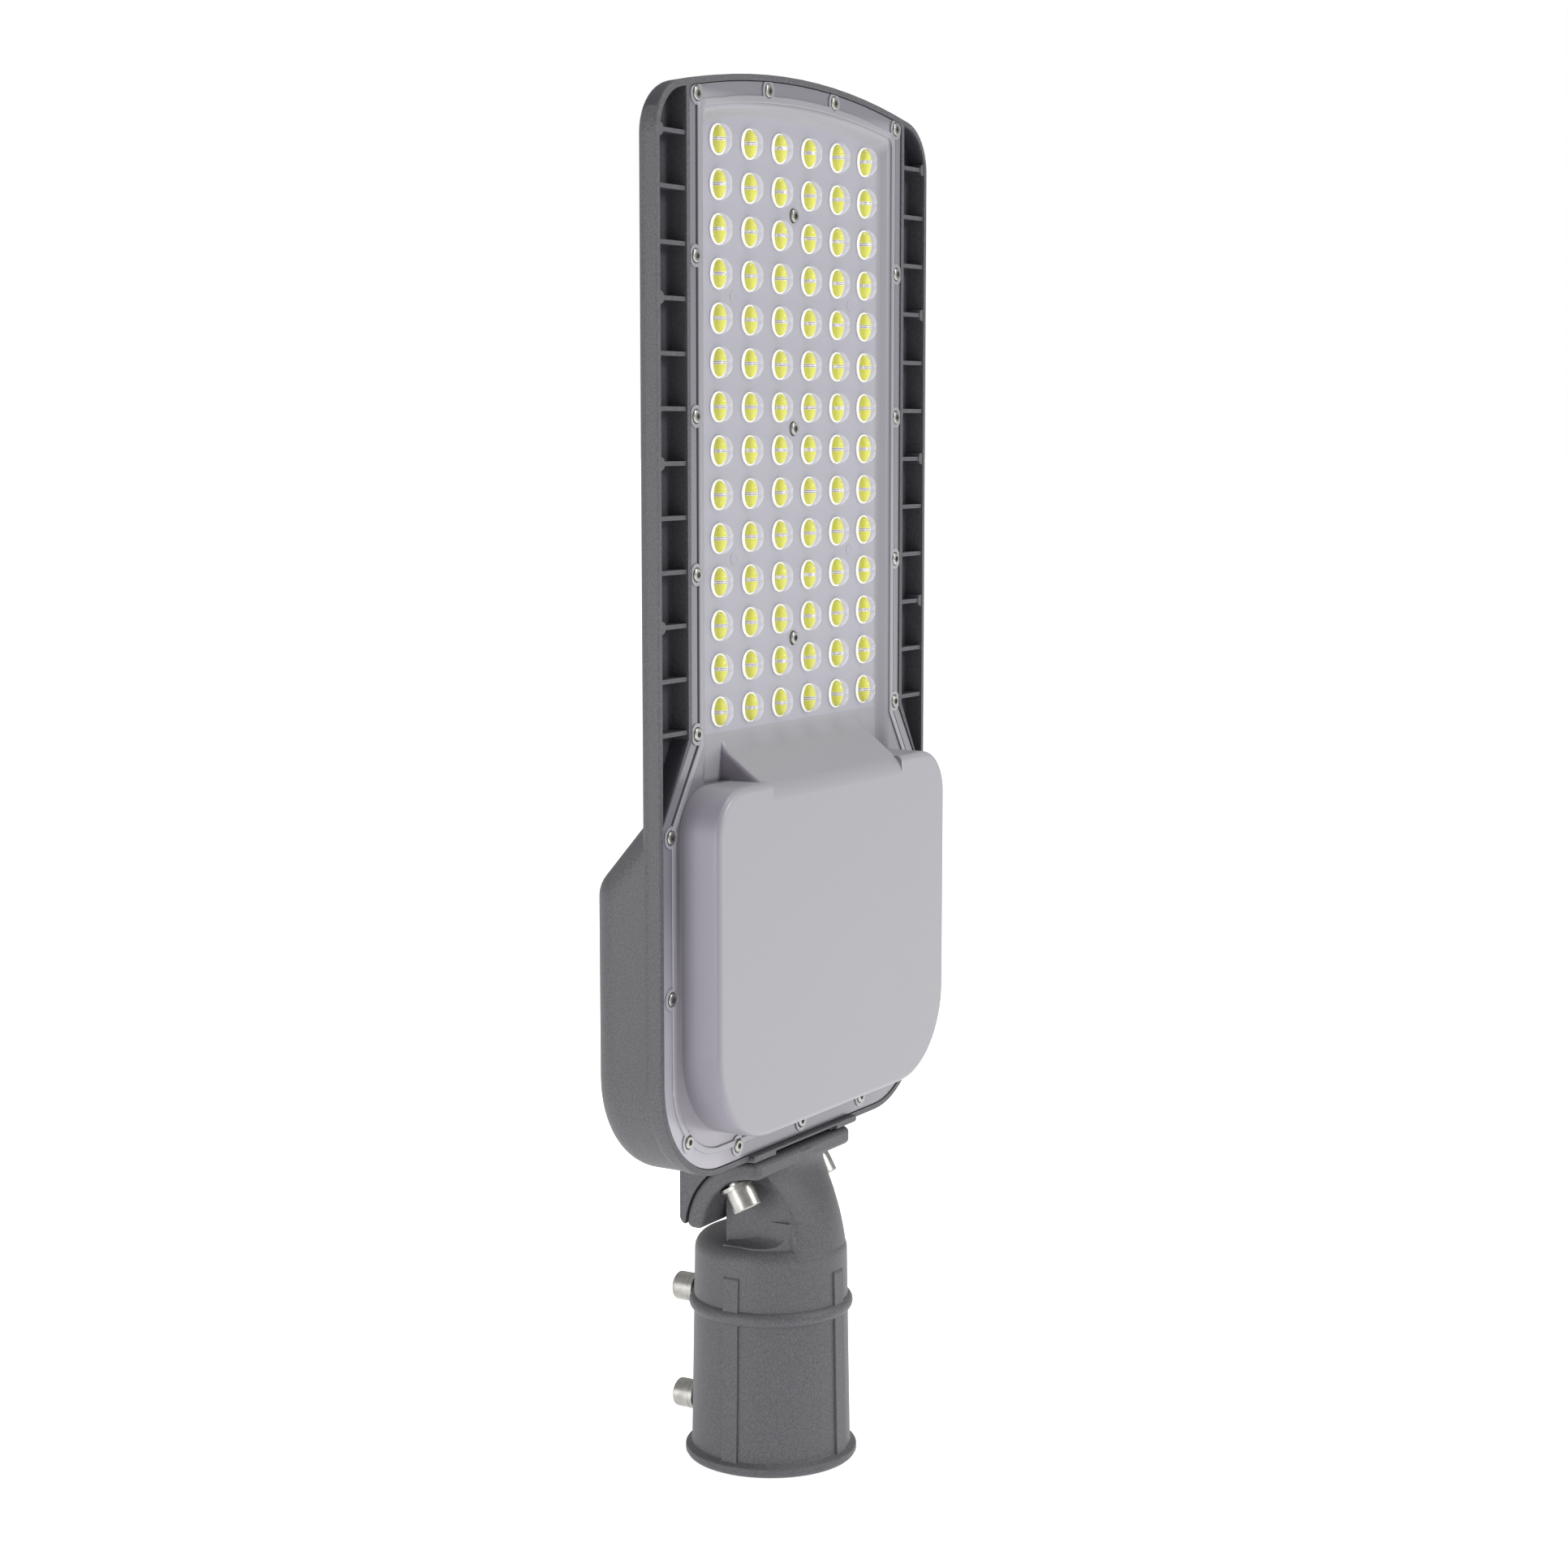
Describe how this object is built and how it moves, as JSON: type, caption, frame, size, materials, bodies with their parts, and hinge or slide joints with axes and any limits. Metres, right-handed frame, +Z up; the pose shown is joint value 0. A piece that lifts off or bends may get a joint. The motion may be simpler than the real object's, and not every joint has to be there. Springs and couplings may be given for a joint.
{
  "type": "led street luminaire head",
  "caption": "Flat LED street-light head with lensed light panel and driver cover, on a tilting clamp socket for a pole end.",
  "frame": {"origin": "centre of the pole socket's mouth, where the pole enters", "axes": "+Z up along the socket towards the head's tip, light-giving face towards -Y, +X across"},
  "size_m": [0.2276, 0.0872, 0.6032],
  "materials": {
    "powder_coat": "satin grey powder coat on die casting",
    "clear_cover": "satin translucent polycarbonate",
    "lens": "clear moulded optics",
    "seal_rubber": "matte",
    "board_white": "matte white solder mask",
    "phosphor": "satin phosphor",
    "stainless": "bright stainless",
    "zinc_steel": "zinc plated",
    "driver_case": "satin",
    "terminal_plastic": "matte",
    "brass": "satin",
    "surge_case": "matte",
    "lead_white": "satin",
    "lead_brown": "satin",
    "gland_plastic": "matte"
  },
  "bodies": {
    "adapter": {"spigot_adapter": "powder_coat"},
    "head": {"housing": "powder_coat", "front_cover": "clear_cover", "lens_plate": "lens", "cover_gasket": "seal_rubber", "seat_seal": "seal_rubber", "led_board": "board_white", "led_chips": "phosphor", "board_screws": "stainless", "cover_screws": "stainless", "driver": "driver_case", "driver_bracket": "zinc_steel", "driver_screws": "stainless", "terminal_block": "terminal_plastic", "terminal_screws": "brass", "surge_protector": "surge_case", "led_leads": "lead_white", "mains_leads": "lead_brown", "inlet_leads": "lead_brown", "cable_gland": "gland_plastic", "gland_nut": "gland_plastic", "gland_insert": "seal_rubber", "breather_vent": "gland_plastic", "tilt_bolt_left": "stainless", "tilt_bolt_right": "stainless", "flat_washer_left": "stainless", "flat_washer_right": "stainless", "spring_washer_left": "stainless", "spring_washer_right": "stainless"},
    "washer_lower": {"pole_washer_lower": "stainless"},
    "screw_lower": {"pole_screw_lower": "stainless"},
    "washer_upper": {"pole_washer_upper": "stainless"},
    "screw_upper": {"pole_screw_upper": "stainless"}
  },
  "joints": [
    {"name": "head_tilt", "type": "hinge", "parent": "adapter", "child": "head", "pos_m": [0, -0.015, 0.1085], "axis": [1, 0, 0], "range_deg": [-10, 15]},
    {"name": "screw_lower_travel", "type": "slide", "parent": "adapter", "child": "washer_lower", "axis": [0, 1, 0], "range_m": [-0.0022, 0.00251]},
    {"name": "screw_lower_turn", "type": "hinge", "parent": "washer_lower", "child": "screw_lower", "pos_m": [0, 0.0408, 0.0186], "axis": [0, 1, 0], "range_deg": [-630, 720]},
    {"name": "screw_upper_travel", "type": "slide", "parent": "adapter", "child": "washer_upper", "axis": [0, 1, 0], "range_m": [-0.0022, 0.00251]},
    {"name": "screw_upper_turn", "type": "hinge", "parent": "washer_upper", "child": "screw_upper", "pos_m": [0, 0.0408, 0.0688], "axis": [0, 1, 0], "range_deg": [-630, 720]}
  ],
  "couplings": [
    {"joint": "screw_lower_travel", "follows": "screw_lower_turn", "m_per_rad": 0.00019894},
    {"joint": "screw_upper_travel", "follows": "screw_upper_turn", "m_per_rad": 0.00019894}
  ]
}
